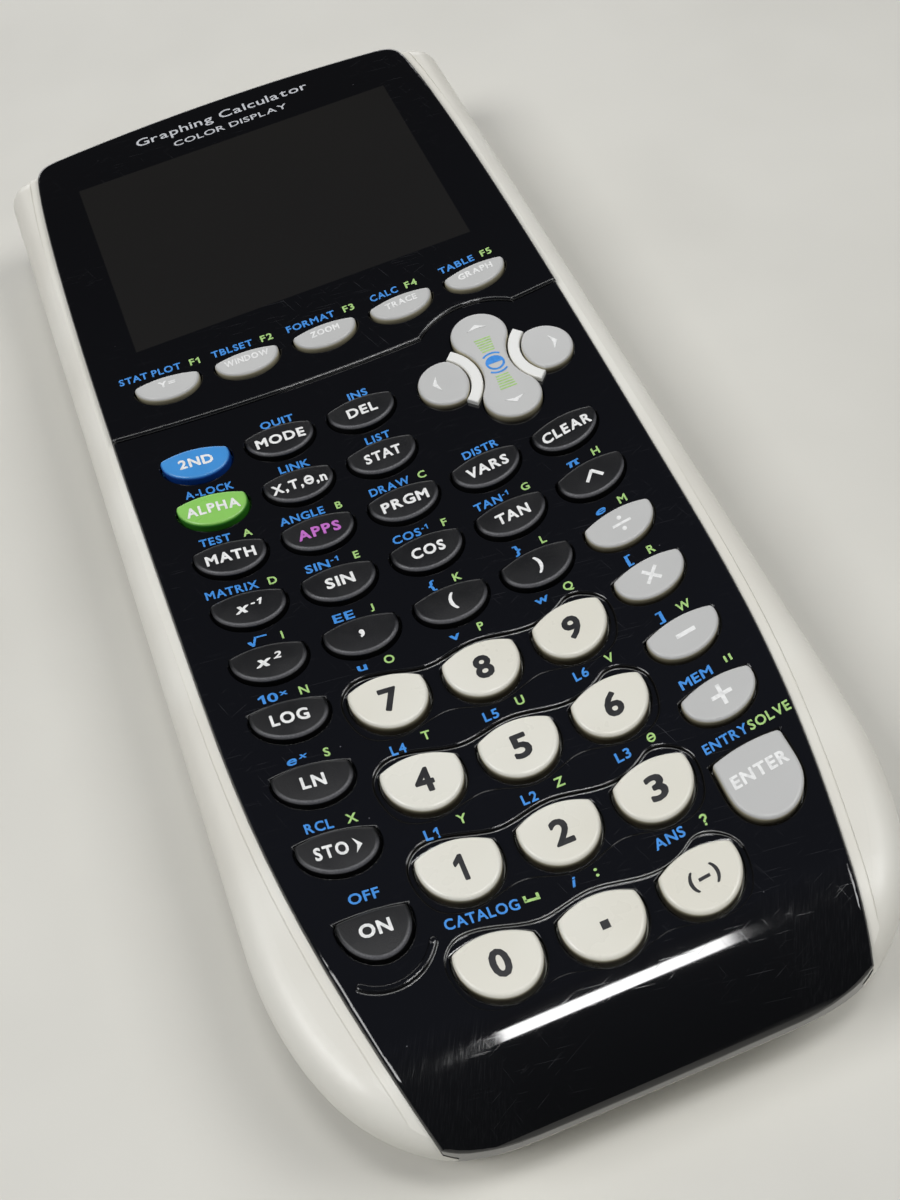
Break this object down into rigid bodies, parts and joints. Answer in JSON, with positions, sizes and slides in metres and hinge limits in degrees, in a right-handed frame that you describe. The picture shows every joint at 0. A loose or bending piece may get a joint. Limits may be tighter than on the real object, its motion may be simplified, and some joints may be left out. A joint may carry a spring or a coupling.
{
  "type": "graphing calculator",
  "caption": "Handheld graphing calculator: white shell, glossy black face, display window, sprung keys, arrow pad, tilting battery cover, end sockets.",
  "frame": {"origin": "on the table, under the middle of the calculator's width and length", "axes": "+X to the right of the keypad, +Y towards the display end, +Z out of the face"},
  "size_m": [0.0808, 0.1876, 0.0208],
  "materials": {
    "shell_white": "satin",
    "face_black": "gloss",
    "window_black": "gloss",
    "white_keys": "satin",
    "grey_keys": "satin",
    "dark_keys": "matte",
    "blue_key": "satin",
    "green_key": "satin",
    "arc_white": "satin",
    "cell_metal": "gloss",
    "lcd_glass": "satin",
    "board_green": "satin",
    "membrane_rubber": "matte",
    "screw_steel": "satin",
    "foot_rubber": "matte"
  },
  "bodies": {
    "case": {"front_cover": "face_black", "display_window": "window_black", "rear_cover": "shell_white", "arrow_pad_arcs": "arc_white", "battery_cells": "cell_metal", "lcd_module": "lcd_glass", "circuit_board": "board_green", "key_membrane": "membrane_rubber", "case_screws": "screw_steel", "rubber_feet": "foot_rubber"},
    "key_0": {"key_0": "white_keys"},
    "key_1": {"key_1": "white_keys"},
    "key_2": {"key_2": "white_keys"},
    "key_2nd": {"key_2nd": "blue_key"},
    "key_3": {"key_3": "white_keys"},
    "key_4": {"key_4": "white_keys"},
    "key_5": {"key_5": "white_keys"},
    "key_6": {"key_6": "white_keys"},
    "key_7": {"key_7": "white_keys"},
    "key_8": {"key_8": "white_keys"},
    "key_9": {"key_9": "white_keys"},
    "key_alpha": {"key_alpha": "green_key"},
    "key_apps": {"key_apps": "dark_keys"},
    "key_clear": {"key_clear": "dark_keys"},
    "key_comma": {"key_comma": "dark_keys"},
    "key_cos": {"key_cos": "dark_keys"},
    "key_decimal": {"key_decimal": "white_keys"},
    "key_del": {"key_del": "dark_keys"},
    "key_divide": {"key_divide": "grey_keys"},
    "key_enter": {"key_enter": "grey_keys"},
    "key_graph": {"key_graph": "grey_keys"},
    "key_inverse": {"key_inverse": "dark_keys"},
    "key_left": {"key_left": "grey_keys"},
    "key_left_paren": {"key_left_paren": "dark_keys"},
    "key_ln": {"key_ln": "dark_keys"},
    "key_log": {"key_log": "dark_keys"},
    "key_math": {"key_math": "dark_keys"},
    "key_minus": {"key_minus": "grey_keys"},
    "key_mode": {"key_mode": "dark_keys"},
    "key_multiply": {"key_multiply": "grey_keys"},
    "key_negate": {"key_negate": "white_keys"},
    "key_on": {"key_on": "dark_keys"},
    "key_plus": {"key_plus": "grey_keys"},
    "key_power": {"key_power": "dark_keys"},
    "key_prgm": {"key_prgm": "dark_keys"},
    "key_right": {"key_right": "grey_keys"},
    "key_right_paren": {"key_right_paren": "dark_keys"},
    "key_sin": {"key_sin": "dark_keys"},
    "key_square": {"key_square": "dark_keys"},
    "key_stat": {"key_stat": "dark_keys"},
    "key_store": {"key_store": "dark_keys"},
    "key_tan": {"key_tan": "dark_keys"},
    "key_trace": {"key_trace": "grey_keys"},
    "key_variable": {"key_variable": "dark_keys"},
    "key_vars": {"key_vars": "dark_keys"},
    "key_window": {"key_window": "grey_keys"},
    "key_y_equals": {"key_y_equals": "grey_keys"},
    "key_zoom": {"key_zoom": "grey_keys"},
    "rocker_up_down": {"rocker_up_down": "grey_keys"},
    "battery_cover": {"battery_cover": "shell_white"}
  },
  "joints": [
    {"name": "key_0_press", "type": "slide", "parent": "case", "child": "key_0", "axis": [0, 0, -1], "range_m": [0, 0.001], "stiffness_N_per_m": 300},
    {"name": "key_1_press", "type": "slide", "parent": "case", "child": "key_1", "axis": [0, 0, -1], "range_m": [0, 0.001], "stiffness_N_per_m": 300},
    {"name": "key_2_press", "type": "slide", "parent": "case", "child": "key_2", "axis": [0, 0, -1], "range_m": [0, 0.001], "stiffness_N_per_m": 300},
    {"name": "key_2nd_press", "type": "slide", "parent": "case", "child": "key_2nd", "axis": [0, 0, -1], "range_m": [0, 0.001], "stiffness_N_per_m": 300},
    {"name": "key_3_press", "type": "slide", "parent": "case", "child": "key_3", "axis": [0, 0, -1], "range_m": [0, 0.001], "stiffness_N_per_m": 300},
    {"name": "key_4_press", "type": "slide", "parent": "case", "child": "key_4", "axis": [0, 0, -1], "range_m": [0, 0.001], "stiffness_N_per_m": 300},
    {"name": "key_5_press", "type": "slide", "parent": "case", "child": "key_5", "axis": [0, 0, -1], "range_m": [0, 0.001], "stiffness_N_per_m": 300},
    {"name": "key_6_press", "type": "slide", "parent": "case", "child": "key_6", "axis": [0, 0, -1], "range_m": [0, 0.001], "stiffness_N_per_m": 300},
    {"name": "key_7_press", "type": "slide", "parent": "case", "child": "key_7", "axis": [0, 0, -1], "range_m": [0, 0.001], "stiffness_N_per_m": 300},
    {"name": "key_8_press", "type": "slide", "parent": "case", "child": "key_8", "axis": [0, 0, -1], "range_m": [0, 0.001], "stiffness_N_per_m": 300},
    {"name": "key_9_press", "type": "slide", "parent": "case", "child": "key_9", "axis": [0, 0, -1], "range_m": [0, 0.001], "stiffness_N_per_m": 300},
    {"name": "key_alpha_press", "type": "slide", "parent": "case", "child": "key_alpha", "axis": [0, 0, -1], "range_m": [0, 0.001], "stiffness_N_per_m": 300},
    {"name": "key_apps_press", "type": "slide", "parent": "case", "child": "key_apps", "axis": [0, 0, -1], "range_m": [0, 0.001], "stiffness_N_per_m": 300},
    {"name": "key_clear_press", "type": "slide", "parent": "case", "child": "key_clear", "axis": [0, 0, -1], "range_m": [0, 0.001], "stiffness_N_per_m": 300},
    {"name": "key_comma_press", "type": "slide", "parent": "case", "child": "key_comma", "axis": [0, 0, -1], "range_m": [0, 0.001], "stiffness_N_per_m": 300},
    {"name": "key_cos_press", "type": "slide", "parent": "case", "child": "key_cos", "axis": [0, 0, -1], "range_m": [0, 0.001], "stiffness_N_per_m": 300},
    {"name": "key_decimal_press", "type": "slide", "parent": "case", "child": "key_decimal", "axis": [0, 0, -1], "range_m": [0, 0.001], "stiffness_N_per_m": 300},
    {"name": "key_del_press", "type": "slide", "parent": "case", "child": "key_del", "axis": [0, 0, -1], "range_m": [0, 0.001], "stiffness_N_per_m": 300},
    {"name": "key_divide_press", "type": "slide", "parent": "case", "child": "key_divide", "axis": [0, 0, -1], "range_m": [0, 0.001], "stiffness_N_per_m": 300},
    {"name": "key_enter_press", "type": "slide", "parent": "case", "child": "key_enter", "axis": [0, 0, -1], "range_m": [0, 0.001], "stiffness_N_per_m": 300},
    {"name": "key_graph_press", "type": "slide", "parent": "case", "child": "key_graph", "axis": [0, 0, -1], "range_m": [0, 0.001], "stiffness_N_per_m": 300},
    {"name": "key_inverse_press", "type": "slide", "parent": "case", "child": "key_inverse", "axis": [0, 0, -1], "range_m": [0, 0.001], "stiffness_N_per_m": 300},
    {"name": "key_left_press", "type": "slide", "parent": "case", "child": "key_left", "axis": [0, 0, -1], "range_m": [0, 0.001], "stiffness_N_per_m": 300},
    {"name": "key_left_paren_press", "type": "slide", "parent": "case", "child": "key_left_paren", "axis": [0, 0, -1], "range_m": [0, 0.001], "stiffness_N_per_m": 300},
    {"name": "key_ln_press", "type": "slide", "parent": "case", "child": "key_ln", "axis": [0, 0, -1], "range_m": [0, 0.001], "stiffness_N_per_m": 300},
    {"name": "key_log_press", "type": "slide", "parent": "case", "child": "key_log", "axis": [0, 0, -1], "range_m": [0, 0.001], "stiffness_N_per_m": 300},
    {"name": "key_math_press", "type": "slide", "parent": "case", "child": "key_math", "axis": [0, 0, -1], "range_m": [0, 0.001], "stiffness_N_per_m": 300},
    {"name": "key_minus_press", "type": "slide", "parent": "case", "child": "key_minus", "axis": [0, 0, -1], "range_m": [0, 0.001], "stiffness_N_per_m": 300},
    {"name": "key_mode_press", "type": "slide", "parent": "case", "child": "key_mode", "axis": [0, 0, -1], "range_m": [0, 0.001], "stiffness_N_per_m": 300},
    {"name": "key_multiply_press", "type": "slide", "parent": "case", "child": "key_multiply", "axis": [0, 0, -1], "range_m": [0, 0.001], "stiffness_N_per_m": 300},
    {"name": "key_negate_press", "type": "slide", "parent": "case", "child": "key_negate", "axis": [0, 0, -1], "range_m": [0, 0.001], "stiffness_N_per_m": 300},
    {"name": "key_on_press", "type": "slide", "parent": "case", "child": "key_on", "axis": [0, 0, -1], "range_m": [0, 0.001], "stiffness_N_per_m": 300},
    {"name": "key_plus_press", "type": "slide", "parent": "case", "child": "key_plus", "axis": [0, 0, -1], "range_m": [0, 0.001], "stiffness_N_per_m": 300},
    {"name": "key_power_press", "type": "slide", "parent": "case", "child": "key_power", "axis": [0, 0, -1], "range_m": [0, 0.001], "stiffness_N_per_m": 300},
    {"name": "key_prgm_press", "type": "slide", "parent": "case", "child": "key_prgm", "axis": [0, 0, -1], "range_m": [0, 0.001], "stiffness_N_per_m": 300},
    {"name": "key_right_press", "type": "slide", "parent": "case", "child": "key_right", "axis": [0, 0, -1], "range_m": [0, 0.001], "stiffness_N_per_m": 300},
    {"name": "key_right_paren_press", "type": "slide", "parent": "case", "child": "key_right_paren", "axis": [0, 0, -1], "range_m": [0, 0.001], "stiffness_N_per_m": 300},
    {"name": "key_sin_press", "type": "slide", "parent": "case", "child": "key_sin", "axis": [0, 0, -1], "range_m": [0, 0.001], "stiffness_N_per_m": 300},
    {"name": "key_square_press", "type": "slide", "parent": "case", "child": "key_square", "axis": [0, 0, -1], "range_m": [0, 0.001], "stiffness_N_per_m": 300},
    {"name": "key_stat_press", "type": "slide", "parent": "case", "child": "key_stat", "axis": [0, 0, -1], "range_m": [0, 0.001], "stiffness_N_per_m": 300},
    {"name": "key_store_press", "type": "slide", "parent": "case", "child": "key_store", "axis": [0, 0, -1], "range_m": [0, 0.001], "stiffness_N_per_m": 300},
    {"name": "key_tan_press", "type": "slide", "parent": "case", "child": "key_tan", "axis": [0, 0, -1], "range_m": [0, 0.001], "stiffness_N_per_m": 300},
    {"name": "key_trace_press", "type": "slide", "parent": "case", "child": "key_trace", "axis": [0, 0, -1], "range_m": [0, 0.001], "stiffness_N_per_m": 300},
    {"name": "key_variable_press", "type": "slide", "parent": "case", "child": "key_variable", "axis": [0, 0, -1], "range_m": [0, 0.001], "stiffness_N_per_m": 300},
    {"name": "key_vars_press", "type": "slide", "parent": "case", "child": "key_vars", "axis": [0, 0, -1], "range_m": [0, 0.001], "stiffness_N_per_m": 300},
    {"name": "key_window_press", "type": "slide", "parent": "case", "child": "key_window", "axis": [0, 0, -1], "range_m": [0, 0.001], "stiffness_N_per_m": 300},
    {"name": "key_y_equals_press", "type": "slide", "parent": "case", "child": "key_y_equals", "axis": [0, 0, -1], "range_m": [0, 0.001], "stiffness_N_per_m": 300},
    {"name": "key_zoom_press", "type": "slide", "parent": "case", "child": "key_zoom", "axis": [0, 0, -1], "range_m": [0, 0.001], "stiffness_N_per_m": 300},
    {"name": "rocker_up_down_tilt", "type": "hinge", "parent": "case", "child": "rocker_up_down", "pos_m": [0.021, 0.00897, 0.0183], "axis": [1, 0, 0], "range_deg": [-4, 4], "stiffness_Nm_per_rad": 0.02},
    {"name": "battery_cover_tilt", "type": "hinge", "parent": "case", "child": "battery_cover", "pos_m": [0, 0.03582, 0.0012], "axis": [-1, 0, 0], "range_deg": [0, 75]}
  ]
}
